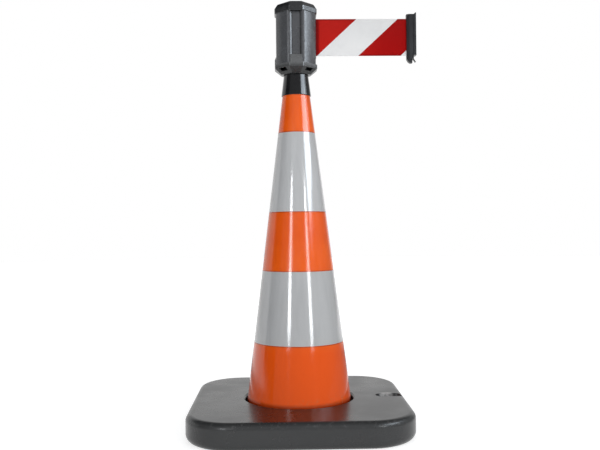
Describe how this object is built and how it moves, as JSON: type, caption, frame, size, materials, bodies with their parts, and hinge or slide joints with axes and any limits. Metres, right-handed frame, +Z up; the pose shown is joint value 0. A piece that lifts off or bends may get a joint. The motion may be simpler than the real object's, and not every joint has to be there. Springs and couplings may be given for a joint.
{
  "type": "traffic cone with retractable belt",
  "caption": "Orange traffic cone with reflective bands and a heavy square base, topped by a black belt head whose striped red and white belt pulls out and rewinds.",
  "frame": {"origin": "on the floor, under the cone's axis", "axes": "+Z up along the cone's axis, +X along the belt as it leaves the head, -Y towards the front"},
  "size_m": [0.4565, 0.425, 0.838],
  "materials": {
    "base_rubber": "satin black moulded rubber",
    "cone_plastic": "glossy orange",
    "reflective_film": "silver-grey reflective film",
    "collar_plastic": "glossy black",
    "head_plastic": "satin black",
    "guide_plastic": "satin black",
    "clip_plastic": "satin black",
    "nylon": "natural nylon",
    "belt_fabric": "woven polyester with red and white stripes",
    "zinc_steel": "zinc plated",
    "bright_steel": "bright steel"
  },
  "bodies": {
    "cone": {"base_weight": "base_rubber", "cone_shell": "cone_plastic", "lower_sleeve": "reflective_film", "upper_sleeve": "reflective_film"},
    "head": {"collar": "collar_plastic", "collar_bolt": "zinc_steel", "collar_washers": "zinc_steel", "collar_nut": "zinc_steel", "head_base": "head_plastic", "base_screws": "zinc_steel", "housing": "head_plastic", "mouth_guide": "guide_plastic", "lower_bush": "nylon", "upper_bush": "nylon", "spring_cup": "nylon", "cup_screws": "zinc_steel", "power_spring": "bright_steel", "spring_cover": "nylon", "top_cap": "head_plastic"},
    "spool": {"spool_shaft": "bright_steel", "shaft_ring": "bright_steel", "spool_drum": "nylon", "spool_flange": "nylon", "belt_anchor": "bright_steel", "belt_roll": "belt_fabric"},
    "belt_end": {"belt_web": "belt_fabric", "clip_body": "clip_plastic", "clip_rod": "bright_steel", "clip_plug": "clip_plastic"}
  },
  "joints": [
    {"name": "head_swivel", "type": "hinge", "parent": "cone", "child": "head", "pos_m": [0, 0, 0.692], "axis": [0, 0, 1], "continuous": true},
    {"name": "belt_pull", "type": "slide", "parent": "head", "child": "belt_end", "axis": [1, 0, 0], "range_m": [-0.18, 2.81], "stiffness_N_per_m": 1.77, "springref_m": -3, "deforming": ["belt_web"]},
    {"name": "spool_spin", "type": "hinge", "parent": "head", "child": "spool", "pos_m": [0, 0, 0.774], "axis": [0, 0, 1], "range_deg": [-560, 8500], "deforming": ["power_spring"]}
  ],
  "couplings": [
    {"joint": "spool_spin", "follows": "belt_pull", "rad_per_m": 52.6}
  ]
}
